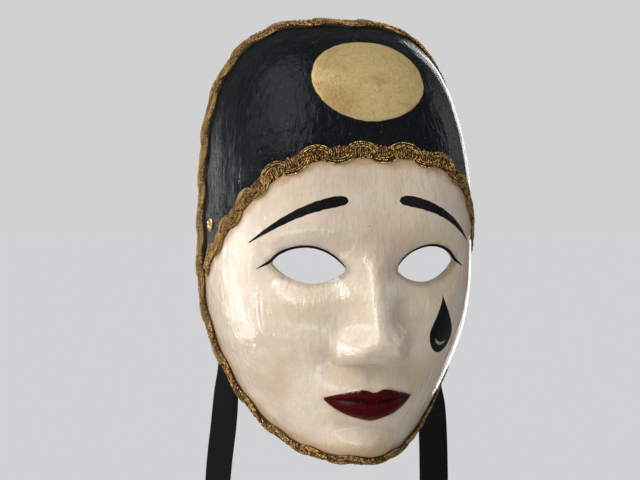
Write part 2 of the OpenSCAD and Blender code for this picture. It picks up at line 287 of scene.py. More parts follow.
def relief(x, z, outside=True):
    form = (-10 * pair(x, z, 31, -1, 20, 13.5, 2.3)
            + 1.5 * pair(x, z, 26, 19, 24, 8)
            + 4.5 * pair(x, z, 42, -30, 20, 18)
            - 2.0 * pair(x, z, 42, -68, 15, 17)
            + 10 * bump(x, z, 0, -69, 28, 21)
            + 16 * bump(x, z, 0, -100, 24, 15)
            - 3.2 * bump(x, z, 0, -85, 16, 5)
            - 1.6 * bump(x, z, 0, -57, 3.2, 6)
            - 2.0 * pair(x, z, 21, -49, 6, 9)
            + nose(x, z))
    return form + lips(x, z) if outside else form


def outline_power(s):
    return JAW_POWER + (CROWN_POWER - JAW_POWER) * ease((s + 0.5) / 1.2)


def reach(c, s):
    p = outline_power(s)
    return (np.abs(c) ** p + np.abs(s) ** p) ** (-1 / p)


def skin(r, turn, outside=True):
    """Point of the surface, r from 0 in the middle to 1 on the rim, turn round it from +X in radians."""
    c, s = np.cos(turn), np.sin(turn)
    cut = 90 - np.where(s > 0, CUT_CROWN, CUT_CHIN) * np.abs(s) ** 2.4
    rho = np.sin(np.radians(r * cut))
    q = reach(c, s)
    z = np.where(s > 0, CROWN, CHIN) * q * rho * s
    x = HALF_WIDTH * q * rho * c * taper(z) + lean(z)
    f = FACE_DEPTH * np.clip(1 - rho ** outline_power(s), 0, None) ** (1 / DEPTH_POWER)
    return np.stack([x, -f - relief(x, z, outside), z], -1)


def level(p, outside=True):
    """Below zero inside the form, above zero in front of it."""
    x, y, z = p[..., 0], p[..., 1], p[..., 2]
    u, w = (x - lean(z)) / (HALF_WIDTH * taper(z)), z / np.where(z > 0, CROWN, CHIN)
    d = np.maximum(np.hypot(u, w), 1e-9)
    c, s = u / d, w / d
    depth = np.maximum(-y - relief(x, z, outside), 0) / FACE_DEPTH
    return (d / reach(c, s)) ** outline_power(s) + depth ** DEPTH_POWER - 1


def slope(p, outside=True, step=0.02):
    return np.stack([(level(p + axis, outside) - level(p - axis, outside)) / (2 * step)
                     for axis in np.eye(3) * step], -1)


def normal_at(p, outside=True):
    return unit(slope(p, outside))


def onto(p, n, steps):
    """Slides points along n until they lie on the surface."""
    for _ in range(steps):
        p = p - n * (level(p) / dot(slope(p), n))[..., None]
    return p


def on_face(x, z):
    """Points of the painted face at x and z."""
    return onto(np.stack([x, np.full(x.shape, -72.0), z], -1), np.array([0.0, 1.0, 0.0]), 8)


def brow_height(y):
    """Height of the edge of the black cap, under the forehead braid."""
    return -14 + 72.2 * (np.maximum(-y, 0) / 86) ** 1.15


def eye_edges(u):
    """Upper and lower edge of an eye opening, u being -1 at its inner corner and 1 at its outer one."""
    k = np.clip(1 - u * u, 0, 1)
    middle = -0.5 + 1.8 * u
    return middle + EYE_RISE * k ** 0.8, middle - EYE_FALL * k ** 0.85


def eye_inside(x, z):
    """Rough distance in mm inside the eye openings, negative outside them."""
    u = (np.abs(x) - EYE_X) / EYE_HALF
    top, low = eye_edges(u)
    return np.where(np.abs(u) < 1, np.minimum(top - z, z - low), -1.0)


# ---- Materials ----
class Graph:
    """A material's nodes, added one call at a time; each call gives the new node's output."""

    def __init__(self, name):
        self.material = bpy.data.materials.new(name)
        self.material.use_nodes = True
        self.tree = self.material.node_tree
        self.shader = self.tree.nodes["Principled BSDF"]

    def feed(self, socket, value):
        if isinstance(value, bpy.types.NodeSocket):
            self.tree.links.new(value, socket)
        else:
            socket.default_value = value

    def add(self, kind, inputs, output=0, **settings):
        node = self.tree.nodes.new("ShaderNode" + kind)
        for key, value in settings.items():
            setattr(node, key, value)
        for key, value in inputs.items():
            self.feed(node.inputs[key], value)
        return node.outputs[output]

    def finish(self, color, rough, normal=None, **others):
        for key, value in {"Base Color": color, "Roughness": rough, "Normal": normal, **others}.items():
            if value is not None:
                self.feed(self.shader.inputs[key.replace("_", " ")], value)
        return self.material

    def place(self, stretch=(1, 1, 1), turned=None):
        """Where a point is on the object, in mm, turned by some angles and times stretch."""
        here = self.add("TexCoord", {}, output="Object")
        if turned is not None:
            here = self.add("VectorRotate", {"Vector": here, "Rotation": turned}, rotation_type="EULER_XYZ")
        return self.add("VectorMath", {0: here, 1: [s / MM for s in stretch]}, operation="MULTIPLY")

    def around(self, stretch):
        """The mesh's own pair of coordinates, times stretch."""
        here = self.add("UVMap", {}, uv_map="UVMap")
        return self.add("VectorMath", {0: here, 1: stretch}, operation="MULTIPLY")

    def noise(self, vector, scale=1.0, detail=4.0, rough=0.55, distort=0.0, output=0):
        return self.add("TexNoise", {"Vector": vector, "Scale": scale, "Detail": detail,
                                     "Roughness": rough, "Distortion": distort}, output)

    def value(self, name):
        return self.add("Attribute", {}, output="Fac", attribute_name=name)

    def between(self, value, low, high, to_low=0.0, to_high=1.0):
        """A smooth change from to_low to to_high as value goes from low to high."""
        return self.add("MapRange", {"Value": value, "From Min": low, "From Max": high, "To Min": to_low,
                                     "To Max": to_high}, interpolation_type="SMOOTHSTEP")

    def sum(self, a, b, operation="ADD"):
        return self.add("Math", {0: a, 1: b}, operation=operation)

    def mix(self, amount, a, b):
        node = self.tree.nodes.new("ShaderNodeMix")
        node.data_type = "RGBA"
        for index, value in ((0, amount), (6, a), (7, b)):
            if isinstance(value, tuple):
                value = (*value, 1)
            self.feed(node.inputs[index], value)
        return node.outputs[2]

    def layers(self, color, *tones):
        """Lays tones over a colour, each with its amount or with what between() makes that from."""
        for tone, *amount in tones:
            color = self.mix(self.between(*amount) if len(amount) > 1 else amount[0], color, tone)
        return color

    def bumps(self, *reliefs):
        """Reliefs one over the other, each as a height, its distance in metres and its strength."""
        normal = None
        for height, distance, strength in reliefs:
            under = {} if normal is None else {"Normal": normal}
            normal = self.add("Bump", {"Height": height, "Distance": distance, "Strength": strength, **under})
        return normal


CREAM, CREAM_DEEP, WARM_STAIN = (0.70, 0.592, 0.475), (0.60, 0.47, 0.335), (0.40, 0.205, 0.06)
GREY_STAIN, SPECK, LINT = (0.24, 0.185, 0.13), (0.20, 0.13, 0.07), (0.25, 0.26, 0.26)
# The cap's paler bluish tone follows its brush streaks and is painted sheen
CAP_BLACK, CAP_BRUSH_SHEEN = (0.0055, 0.0068, 0.008), (0.018, 0.022, 0.026)
LIP_RED, LIP_DARK = (0.058, 0.0026, 0.0036), (0.028, 0.0012, 0.0016)
SOFT_EDGE = 0.12


def paint_material(name, specular, coat):
    """Cream face, black cap and red lips under one glossy varnish, worn and stained at the trims."""
    g = Graph(name)
    place = g.place()
    cap_height, rim, eye, lip = (g.value(k) for k in ("cap", "rim", "eye", "lip"))
    mottle = g.noise(place, 0.30, 6, 0.65)
    fine = g.noise(place, 1.4, 5, 0.7)
    specks = g.between(g.noise(place, 0.9, 2, 0.4), 0.735, 0.78, 0.0, 0.7)
    wander = g.between(g.noise(place, 0.12, 4, 0.6), 0.3, 0.7, -1.6, 1.6)
    from_rim = g.sum(rim, wander)
    from_cap = g.sum(g.sum(cap_height, -1.0, "MULTIPLY"), wander)
    # Uneven cream, stained from both braids inwards, round the eye openings and at the lips
    cream = g.layers(
        CREAM, (CREAM_DEEP, g.noise(place, 0.035, 3), 0.35, 0.7),
        (CREAM_DEEP, mottle, 0.42, 0.75, 0.0, 0.42),
        (GREY_STAIN, fine, 0.5, 0.8, 0.0, 0.25),
        (SPECK, specks),
        (WARM_STAIN, g.sum(from_rim, -10.6), 0.2, 7.0, 0.62, 0.0),
        (WARM_STAIN, from_cap, 5.6, 11.0, 0.72, 0.0),
        (CREAM_DEEP, g.sum(from_rim, from_cap, "MINIMUM"), 8.0, 34.0, 0.24, 0.0),
        (GREY_STAIN, g.sum(eye, g.sum(wander, 0.4, "MULTIPLY")), 0.4, 4.2, 0.6, 0.0),
        (WARM_STAIN, lip, -1.5, -0.1, 0.0, 0.35))
    # Black cap with brush marks and lint; the paler bluish streaks along the brush marks are painted sheen
    streak = g.noise(g.place((0.5, 0.5, 0.055)), 1.0, 6, 0.62)
    cap = g.layers(
        CAP_BLACK, (CAP_BRUSH_SHEEN, streak, 0.5, 0.76, 0.0, 0.6),
        (LINT, g.noise(place, 1.1, 1, 0.3), 0.76, 0.80, 0.0, 0.5))
    # Lips, darker where they meet and towards the edge
    red = g.layers(
        LIP_RED, (LIP_DARK, g.noise(g.place((0.9, 0.9, 0.2))), 0.4, 0.75, 0.0, 0.5),
        (LIP_DARK, g.value("lip_line"), 0.0, 1.1, 0.95, 0.0),
        (LIP_DARK, lip, 0.0, 1.3, 0.55, 0.0))
    is_cap = g.between(cap_height, -SOFT_EDGE, SOFT_EDGE)
    ragged_lip = g.sum(lip, g.between(fine, 0.2, 0.8, -0.12, 0.12))
    color = g.layers(cream, (red, ragged_lip, -SOFT_EDGE, SOFT_EDGE), (cap, is_cap))
    # Varnish: long vertical wrinkles, brush marks and paper grain
    wrinkle = g.noise(g.place((0.32, 0.32, 0.045)), 1.0, 3, 0.5, 0.4)
    crinkle = g.noise(g.place((0.6, 0.6, 0.17)), 1.0, 3, 0.55, 0.5)

    def on_cap(face, there):
        return g.between(is_cap, 0, 1, face, there)

    rough = g.sum(g.between(mottle, 0.3, 0.75, 0.13, 0.25), on_cap(1.0, 0.45), "MULTIPLY")
    normal = g.bumps((g.noise(place, 0.075, 3, 0.5), 0.0050, 0.34), (wrinkle, 0.0013, on_cap(0.25, 0.4)),
                     (crinkle, 0.0007, on_cap(0.5, 0.15)), (streak, 0.0009, on_cap(0.08, 0.36)),
                     (fine, 0.0003, 0.35), (specks, 0.0003, 0.5))
    glaze = g.bumps((wrinkle, 0.0012, 0.5), (crinkle, 0.0003, 0.4))
    return g.finish(color, rough, normal, Specular_IOR_Level=specular, Coat_Weight=coat, Coat_Roughness=0.05,
                    Coat_Normal=glaze)


def raw_paper_material():
    """Brown papier-mache inside: torn strips with their edges showing, and glue."""
    g = Graph("raw_paper_inside")
    place = g.place()
    warp = g.noise(place, 0.06, 3, 0.6)
    ragged = g.noise(place, 0.22, 5, 0.65, output="Color")
    torn = g.add("VectorMath", {0: ragged, 1: (0.30, 0.30, 0.30), 2: g.place((0.045, 0.045, 0.018), (0, 0.5, 0))},
                 operation="MULTIPLY_ADD")
    strips = {"Vector": torn, "Scale": 1.0, "Randomness": 0.9}
    tone = g.add("SeparateColor", {"Color": g.add("TexVoronoi", strips, output="Color")})
    edges = g.add("TexVoronoi", strips, feature="DISTANCE_TO_EDGE")
    fibres = g.noise(place, 0.9, 6, 0.7, 1.5)
    color = g.layers(
        (0.33, 0.215, 0.115), ((0.47, 0.335, 0.195), tone),
        ((0.23, 0.135, 0.065), warp, 0.35, 0.7, 0.0, 0.5),
        ((0.56, 0.43, 0.28), fibres, 0.45, 0.8, 0.0, 0.45),
        ((0.17, 0.10, 0.05), edges, 0.0, 0.05, 0.28, 0.0))
    normal = g.bumps((g.between(edges, 0.0, 0.05), 0.0005, 0.7), (fibres, 0.0005, 0.55))
    return g.finish(color, g.between(warp, 0.3, 0.7, 0.55, 0.8), normal)


def cut_edge_material():
    """The cut edge of the wall: plies of paper with smears of paint."""
    g = Graph("cut_paper_edge")
    grain = g.noise(g.place(), 1.6, 5, 0.7)
    color = g.layers(
        (0.50, 0.36, 0.21), ((0.30, 0.19, 0.10), grain, 0.35, 0.7),
        ((0.64, 0.52, 0.38), g.noise(g.place(), 0.22, 4, 0.6), 0.5, 0.62, 0.0, 0.75))
    return g.finish(color, 0.7, g.bumps((grain, 0.0006, 0.6)))


def ink_material():
    """Black paint of the brows, the eye lines and the drop."""
    g = Graph("black_paint")
    hairs = g.noise(g.around((0.16, 1.6, 1)), 1.0, 5, 0.65)
    color = g.layers((0.005, 0.0055, 0.006), ((0.018, 0.019, 0.02), hairs, 0.45, 0.8, 0.0, 0.8))
    wrinkle = g.noise(g.place((0.34, 0.34, 0.045)), 1.0, 5, 0.6, 0.4)
    normal = g.bumps((wrinkle, 0.0012, 0.42), (hairs, 0.0003, 0.5))
    return g.finish(color, 0.2, normal, Specular_IOR_Level=0.13)


def highlight_material():
    """The pale crescent on the drop, dabbed on thinly."""
    g = Graph("pale_paint")
    dabs = g.noise(g.place(), 1.1, 5, 0.65)
    color = g.layers((0.10, 0.11, 0.115), ((0.42, 0.42, 0.40), dabs, 0.35, 0.65))
    return g.finish(color, 0.3, g.bumps((dabs, 0.0003, 0.5)), Coat_Weight=0.3, Coat_Roughness=0.12)


SMUDGE_PLACE = (-19.0, -79.0, 86.0)


def leaf_material():
    """Gold leaf on a tinted ground, brushed in swirls and rubbed brown in places."""
    g = Graph("gold_leaf")
    place = g.place()
    swirl = g.noise(g.around((0.34, 0.8, 1)), 1.0, 6, 0.68, 1.6)
    rub = g.noise(place, 0.055, 5, 0.62, 0.6)
    fine = g.noise(place, 1.1, 5, 0.7)
    # Strokes of a dry brush both ways, hairline scratches, and one brown smudge
    strokes = g.sum(*(g.noise(g.place(stretch, (0, tilt, 0)), 1.0, 5, 0.6, 0.8)
                      for stretch, tilt in (((0.16, 0.9, 0.9), 0.6), ((0.9, 0.9, 0.14), 0.5))), "MAXIMUM")
    scratch = g.noise(g.place((0.07, 1.5, 1.5), (0, -0.4, 0)), 1.0, 3, 0.5, 1.2)
    away = g.add("VectorMath", {0: place, 1: SMUDGE_PLACE}, operation="DISTANCE", output="Value")
    smudge = g.sum(g.between(away, 3.0, 17.0, 0.75, 0.0), g.between(strokes, 0.35, 0.7, 0.5, 1.0), "MULTIPLY")
    color = g.layers(
        (0.66, 0.50, 0.225), ((0.54, 0.39, 0.155), swirl, 0.35, 0.68),
        ((0.42, 0.27, 0.09), strokes, 0.54, 0.70, 0.0, 0.75),
        ((0.36, 0.205, 0.055), rub, 0.5, 0.7, 0.0, 0.65),
        ((0.38, 0.205, 0.05), smudge),
        ((0.25, 0.14, 0.045), scratch, 0.64, 0.7, 0.0, 0.6),
        ((0.28, 0.155, 0.05), fine, 0.55, 0.8, 0.0, 0.5))
    normal = g.bumps((swirl, 0.0006, 0.55), (fine, 0.0003, 0.35))
    return g.finish(color, g.between(rub, 0.35, 0.7, 0.34, 0.55), normal, Metallic=0.3)


# GLINT is a painted glint colour and GLINT_SHADE a painted shade colour for the braid threads' specks
GLINT, GLINT_SHADE = (1.0, 0.70, 0.26), (0.03, 0.012, 0.004)


def thread_material(name, light, dark, pitch, metallic):
    """Metal strip wound on a core: slanted windings from the tube's own coordinates, with painted shade in the
    grooves between them and painted glints, tarnished in patches.
    """
    g = Graph(name)
    around = g.add("SeparateXYZ", {"Vector": g.add("UVMap", {}, uv_map="UVMap")})
    phase = g.sum(around, g.sum(around.node.outputs[1], 1 / pitch, "MULTIPLY"))
    wound = g.sum(g.sum(phase, TAU, "MULTIPLY"), 0.0, "SINE")
    glint = g.noise(g.place(), 0.9, 1, 0.5)
    # Painted light and shade: lighter on the windings' crests, darker in the grooves between them; GLINT specks are
    # painted glints, GLINT_SHADE specks painted shade, and the broad dark patches tarnish
    color = g.layers(
        dark, (light, wound, -0.7, 0.6), (dark, g.noise(g.place(), 0.16, 4, 0.6), 0.42, 0.7, 0.0, 0.6),
        (GLINT_SHADE, glint, 0.38, 0.47, 0.95, 0.0), (GLINT, glint, 0.54, 0.60, 0.0, 0.95))
    rough = g.between(glint, 0.35, 0.65, 0.42, 0.22)
    return g.finish(color, rough, g.bumps((wound, 0.00022, 0.8)), Metallic=metallic)


def band_material():
    """The ground that the braid's cords are worked on, mostly in their shadow, coloured near-black as painted shade
    between the cords.
    """
    g = Graph("braid_ground")
    weave = g.noise(g.around((0.9, 2.2, 1)), 1.0, 4, 0.6)
    color = g.layers((0.02, 0.009, 0.003), ((0.06, 0.028, 0.009), weave, 0.35, 0.65))
    return g.finish(color, 0.5, g.bumps((weave, 0.0004, 0.8)), Metallic=0.3)


def brass_material():
    """Lacquered brass, a little tarnished."""
    g = Graph("eyelet_brass")
    stain = g.noise(g.place(), 0.5, 5, 0.6)
    lathe = g.noise(g.place((0.4, 0.4, 3.0)), 1.0, 3)
    color = g.layers((0.82, 0.60, 0.26), ((0.50, 0.33, 0.12), stain, 0.4, 0.7))
    return g.finish(color, g.between(stain, 0.35, 0.7, 0.16, 0.36), g.bumps((lathe, 0.0001, 0.25)), Metallic=1.0)


def ribbon_material():
    """Black grosgrain: fine lengthwise threads over the ribs, with a dull sheen."""
    g = Graph("ribbon_cloth")
    threads = g.noise(g.around((5.0, 0.35, 1)), 1.0, 3, 0.6)
    color = g.layers(
        (0.0028, 0.0028, 0.003), ((0.0085, 0.0085, 0.009), threads, 0.35, 0.7),
        ((0.009, 0.0088, 0.009), g.noise(g.place(), 0.05, 3), 0.5, 0.75, 0.0, 0.4))
    return g.finish(color, 0.78, g.bumps((threads, 0.0002, 0.5)), Specular_IOR_Level=0.06, Sheen_Weight=0.02,
                    Sheen_Roughness=0.4)


# ---- Ribbons: grosgrain ties through the eyelets, hanging from behind the jaw ----
EYELET_TURN = math.radians(5)
SEAT = np.array([73.2903, -23.0, 20.0])
OUT = np.array([math.cos(EYELET_TURN), -math.sin(EYELET_TURN), 0.0])
TAB = SEAT - OUT * 4.65
HOLE, HOLE_REACH, HOLE_EMPTY = 2.58, 5.2, 0.75
RIBBON_WIDTH, RIBBON_THICK, RIBBON_COLUMNS = 20.0, 0.5, 17
RIB_PITCH, RIB_DEPTH, RIB_ROWS = 0.9, 0.11, 4
# Steps back, up and out from the middle of the tab in mm, and the turn in degrees, as in the CAD
START = [[-0.2, -2.5, 8.7, 0], [0, 0, 0, 0], [0.3, 3.3, -11.5, 0], [0.2, 8.2, -29, 0]]
LEFT_ROUTE = START + [[-2.8, 13, -46, 0], [-7, 18, -64, 3], [-10, 23, -80, 10], [-8.8, 25, -96, 30],
                      [-7.6, 25.5, -112, 39], [-7, 25.5, -150, 40], [-7, 25.5, -220, 40],
                      [-7, 25.5, -320, 40], [-7, 25.5, -436, 40]]
RIGHT_ROUTE = START + [[-2.4, 13, -46, 0], [-6, 18, -64, -4], [-8.5, 22.5, -80, -14], [-8, 25, -96, -26],
                       [-7, 26, -112, -30], [-4, 28, -150, -30], [-2, 29.5, -220, -28],
                       [-3, 29, -320, -26], [-4, 28.5, -436, -26]]


def make_ribbon(name, route, side, node, body):
    """A ribbed strip with a punched hole for the eyelet; side is 1 on the wearer's left and -1 on the right."""
    route = np.array(route)
    line = smooth_through(np.column_stack([TAB + route[:, :3], route[:, 3]]), 24)
    length = lengths_along(line[:, :3])[-1]
    count = int(length / RIB_PITCH) * RIB_ROWS
    line = resample(line, count + 1)
    place, face = line[:, :3], np.radians(line[:, 3]) - EYELET_TURN
    along = unit(np.gradient(place, axis=0))
    across = np.stack([-np.sin(face), np.cos(face), 0 * face], -1)
    across = unit(across - along * dot(across, along)[:, None])
    out = unit(np.cross(along, across))
    run = np.linspace(0, length, count + 1)
    spread = np.linspace(-1, 1, RIBBON_COLUMNS)
    w, s = np.meshgrid(spread * RIBBON_WIDTH / 2, run)
    # The punched hole: points near its middle move out to its edge
    middle = run[np.argmin(np.linalg.norm(place - TAB, axis=1))]
    from_hole = np.hypot(w, s - middle)
    moved = HOLE + from_hole * (HOLE_REACH - HOLE) / HOLE_REACH
    scale = np.where(from_hole < HOLE_REACH, moved / np.maximum(from_hole, 1e-6), 1)
    w, s = w * scale, middle + (s - middle) * scale
    # Ribs, lower on the selvedges, and thinner edges
    rib = RIB_DEPTH * (np.abs(np.sin(np.pi * s / RIB_PITCH)) - 0.5) * np.where(np.abs(spread) > 0.93, 0.4, 1)
    half = (RIBBON_THICK / 2 * (1 - 0.45 * np.abs(spread) ** 12) + rib)[..., None]
    # Where the ribbon hangs free it cups and waves a little
    cup, swing = 0.5 * np.sin(run / 21)[:, None], 0.35 * np.sin(run / 47 + 1)[:, None]
    wave = ease((run - 60) / 60)[:, None] * (cup * spread ** 2 + swing * spread)
    cell = s / length * count
    low = np.clip(cell.astype(int), 0, count - 1)
    part = (cell - low)[..., None]

    def at(values):
        return values[low] * (1 - part) + values[low + 1] * part

    out_way = unit(at(out))
    centre = at(place) + unit(at(across)) * w[..., None] + out_way * wave[..., None]
    front, back = ((centre + out_way * h).reshape(-1, 3) for h in (half, -half))
    normals = out_way.reshape(-1, 3)
    faces = grid_faces(count + 1, RIBBON_COLUMNS)
    faces = facing_out(faces[from_hole.ravel()[faces].min(1) >= HOLE_EMPTY], front, normals)
    points, backs, wall = closed_sheet(front, back, [faces], normals, 1, 0.06)
    every = np.concatenate([faces, *backs, wall])[:, ::side]
    flat = np.stack([w, s], -1).reshape(-1, 2)
    uv = np.concatenate([flat, flat, np.zeros((len(points) - 2 * len(flat), 2))])
    mirror = np.array([side, 1, 1])
    piece = make_piece(name, points * mirror, [(every, 0)], [ribbon_cloth], body, [node],
                       uv=uv[every], sharp=55)


ribbon_cloth = ribbon_material()
make_ribbon("tie_ribbon_left", LEFT_ROUTE, 1, "ribbon_left", "left_tie")
make_ribbon("tie_ribbon_right", RIGHT_ROUTE, -1, "ribbon_right", "right_tie")


# ---- Painted paper shell ----
EYELETS = [(SEAT * [side, 1, 1], OUT * [side, 1, 1]) for side, _ in SIDES]
SHELL_CELLS = 214
FACE, INSIDE, EDGE, CAP, LIPS = range(5)


def shell_lines():
    """Grid lines of the shell, closer together over the nose and mouth."""
    e = np.linspace(-1, 1, SHELL_CELLS + 1)
    up = e * (0.8 + 0.2 * e * e)
    return e * (0.72 + 0.28 * e * e), up + 0.22 * (up * up - 1)


def polar(u, w):
    """Share of the way to the rim and angle of a point of the square grid."""
    a, b = u * np.sqrt(1 - w * w / 2), w * np.sqrt(1 - u * u / 2)
    return np.minimum(np.hypot(a, b), 1), np.arctan2(b, a)


def opening_depth(u, w):
    """Above zero inside the eye openings and the eyelets' holes."""
    p = skin(*polar(u, w))
    depth = eye_inside(p[..., 0], p[..., 2])
    for seat, axis in EYELETS:
        away = p - seat
        radial = np.linalg.norm(away - axis * dot(away, axis)[..., None], axis=-1)
        depth = np.maximum(depth, np.where(np.sign(seat[0]) * p[..., 0] > 40, HOLE - radial, -9))
    return depth


def snap_to_openings(u, w):
    """Moves grid points onto the openings' outlines, and says which are inside (1), on (0) or outside (-1)."""
    inside = opening_depth(u, w) > 0
    best = np.full(u.shape, np.inf)
    new_u, new_w = u.copy(), w.copy()
    for axis in (0, 1):
        i, j = np.nonzero(np.diff(inside, axis=axis))
        k, m = i + 1 - axis, j + axis

        def between(t):
            return [a[i, j] * (1 - t) + a[k, m] * t for a in (u, w)]

        low, high = np.zeros(len(i)), np.ones(len(i))
        for _ in range(14):
            t = (low + high) / 2
            before = (opening_depth(*between(t)) > 0) == inside[i, j]
            low, high = np.where(before, t, low), np.where(before, high, t)
        t = (low + high) / 2
        ends = np.where(t < 0.5, i, k), np.where(t < 0.5, j, m)
        for a, b, move, x, y in zip(*ends, np.minimum(t, 1 - t), *between(t)):
            if move < best[a, b]:
                best[a, b], new_u[a, b], new_w[a, b] = move, x, y
    return new_u, new_w, np.where(np.isfinite(best), 0, np.where(inside, 1, -1))


def nearest(points, targets, near=40.0):
    """Distance from each point to the nearest of the targets, in blocks; far points just get near."""
    result = np.full(len(points), near)
    pick = np.nonzero(np.all((points > targets.min(0) - near) & (points < targets.max(0) + near), axis=1))[0]
    for block in np.array_split(pick, max(1, len(pick) * len(targets) // 4_000_000)):
        gaps = np.linalg.norm(points[block][:, None] - targets[None], axis=-1)
        result[block] = np.minimum(gaps.min(1), near)
    return result


def eye_outline(side, count=120):
    """Points round one eye opening, on the surface."""
    u = -np.cos(np.linspace(0, math.pi, count))
    top, low = eye_edges(u)
    x = (EYE_X + EYE_HALF * u) * side
    return on_face(np.concatenate([x, x[::-1]]), np.concatenate([top, low[::-1]]))


def make_shell():
    u, w, state = snap_to_openings(*np.meshgrid(*shell_lines()))
    r, turn = polar(u, w)
    front, soft = (skin(r, turn, outside).reshape(-1, 3) for outside in (True, False))
    x, y, z = soft.T
    lumps = 0.22 * (np.sin(x / 5.1 + 2 * np.sin(z / 11)) * np.sin(z / 6.3 + np.sin(x / 9)) + np.sin(x / 13 + z / 9))
    back = soft - normal_at(soft, False) * (WALL + lumps)[:, None]
    # Whole quads, and halves of those that an outline cuts from corner to corner
    faces = grid_faces(SHELL_CELLS + 1, SHELL_CELLS + 1)
    marks = state.ravel()[faces]
    inside, outside = (marks > 0).any(1), (marks < 0).any(1)
    hollow = opening_depth(u.ravel()[faces].mean(1), w.ravel()[faces].mean(1)) > 0
    whole, split = faces[~inside & (outside | ~hollow)], faces[inside & outside]
    corner = np.argmax(state.ravel()[split] < 0, axis=1)
    halves = np.stack([split[np.arange(len(split)), (corner + k) % 4] for k in (3, 0, 1)], -1)
    points, backs, wall = closed_sheet(front, back, [whole, halves], normal_at(front), 3, 0.4)
    # Distances in mm that the paint follows
    x, y, z = front.T
    eye = np.minimum(*(nearest(front, eye_outline(side)) for side, _ in SIDES))
    upper, line, lower = lip_lines(x)
    lip = np.where(np.abs(x) < MOUTH, np.minimum(upper - z, z - lower), -np.hypot(np.abs(x) - MOUTH, z - line))
    cap = z - brow_height(y)
    from_rim = np.linalg.norm(front - skin(1.0, turn.ravel()), axis=1)
    rest = np.ones(len(points) - len(front))
    values = {"cap": (cap, 0), "rim": (from_rim, 0), "eye": (eye, 0), "lip": (lip, -9),
              "lip_line": (np.abs(z - line), 9)}
    groups = [*((faces, INSIDE) for faces in backs), (wall, EDGE)]
    for part in (whole, halves):
        kind = np.where(cap[part].min(1) > 0, CAP, np.where(lip[part].min(1) > 0.1, LIPS, FACE))
        groups += [(part[kind == k], k) for k in (FACE, CAP, LIPS)]
    make_piece("painted_shell", points, groups,
               [paint_material("painted_face", 0.18, 0.8), raw_paper_material(), cut_edge_material(),
                paint_material("painted_cap", 0.1, 0.0), paint_material("painted_lips", 0.09, 0.0)],
               "mask", ["paper_shell"], sharp=38,
               values={key: np.concatenate([value, rest * behind]) for key, (value, behind) in values.items()})


make_shell()


# ---- Painted marks: thin films on the face ----
def film_grid(name, rows, spread, material, lift=0.05):
    """A thin closed film over a grid of (x, z) points of the face."""
    count, columns = rows.shape[:2]
    base = on_face(rows[..., 0], rows[..., 1])
    normals = normal_at(base)
    ends = np.minimum(np.arange(count), np.arange(count)[::-1])[:, None] / 2
    rise = lift * np.clip((1 - np.abs(spread)) * 8, 0.2, 1) * np.clip(ends, 0.2, 1)
    top = (base + normals * rise[..., None]).reshape(-1, 3)
    under = (base - normals * 0.12).reshape(-1, 3)
    normals = normals.reshape(-1, 3)
    faces = facing_out(grid_faces(count, columns), top, normals)
    points, backs, wall = closed_sheet(top, under, [faces], normals)
    every = np.concatenate([faces, *backs, wall])
    run = lengths_along(base[:, columns // 2])[:, None]
    half = np.linalg.norm(base[:, -1] - base[:, 0], axis=1)[:, None] / 2
    uv = np.stack([np.broadcast_to(run, (count, columns)), spread * half], -1).reshape(-1, 2)
    make_piece(name, points, [(every, 0)], [material], "mask", uv=np.concatenate([uv, uv])[every])


def film(name, line, half_widths, material, lift=0.05, columns=13):
    """A strip of paint along points (x, z) of the face, tapering to nothing at its edges."""
    x, z = np.array(line, float).T
    steps = smooth_through(np.column_stack([x, 0 * x, z, half_widths]), 14)
    steps = resample(steps, max(24, int(lengths_along(steps[:, :3])[-1] / 0.35)))
    flat, n = steps[:, [0, 2]], np.arange(len(steps))
    aside = unit(np.gradient(flat, axis=0))[:, ::-1] * [-1, 1]
    wobble = 1 + 0.05 * np.sin(n * 0.37) * np.sin(n * 0.11)
    spread = np.linspace(-1, 1, columns)
    rows = flat[:, None] + aside[:, None] * (spread[:, None] * (steps[:, 3] * wobble)[:, None, None])
    film_grid(name, rows, spread, material, lift)


def drop_rows(centre, height, width, round_share=0.36):
    """A plain drop: round below, drawn out to a point above."""
    k = (1 - np.cos(np.linspace(0, math.pi, 60))) / 2
    below, above = (k - round_share) / round_share, (k - round_share) / (1 - round_share)
    half = width / 2 * np.where(k < round_share, np.sqrt(np.clip(1 - below ** 2, 0, 1)),
                                (1 - np.clip(above, 0, 1) ** 1.25) ** 1.35)
    spread = np.linspace(-1, 1, 25)
    x = centre[0] + spread * np.maximum(half, 0.02)[:, None]
    z = centre[1] + height * (k - 0.5)
    return np.stack([x, np.broadcast_to(z[:, None], x.shape)], -1), spread


black_paint = ink_material()
BROW = [[13.7, 33.3], [14.6, 33.5], [16.2, 33.6], [19, 33.4], [27, 31.6], [36, 28.4], [45, 23.6], [53, 17.8],
        [60, 11.6]]
BROW_HALF = [0.3, 1.6, 2.3, 2.75, 2.7, 2.3, 1.75, 1.1, 0.25]
LID_HALF = [0.15, *np.linspace(0.5, 0.8, 10), 0.8, 0.55, 0.12]
for side, word in SIDES:
    film(f"brow_{word}", [[x * side, z] for x, z in BROW], BROW_HALF, black_paint)
    u = np.linspace(-0.98, 1, 12)
    lid = [*zip(EYE_X + EYE_HALF * u, eye_edges(u)[0] + 0.62),
           (EYE_X + EYE_HALF + 3.2, -0.2), (EYE_X + EYE_HALF + 6.2, -2.2)]
    film(f"eye_line_{word}", [[x * side, z] for x, z in lid], LID_HALF, black_paint, columns=9)
film_grid("painted_drop", *drop_rows((40.9, -31.8), 31.5, 16.5), black_paint)
film("drop_highlight", [[41.3 + 4.8 * math.cos(a), -37.0 + 5.6 * math.sin(a)] for a in np.linspace(-2.75, -0.75, 9)],
     [0.1, 0.4, 0.7, 0.9, 0.95, 0.9, 0.7, 0.4, 0.1], highlight_material(), lift=0.11, columns=7)


# ---- Gold disc ----
DISC_PLACE, DISC_TILT = ([2.6], [98.3]), math.radians(9)
DISC_WIDE, DISC_TALL, DISC_LEAF, DISC_SUNK = 62.0, 52.5, 0.36, 0.1


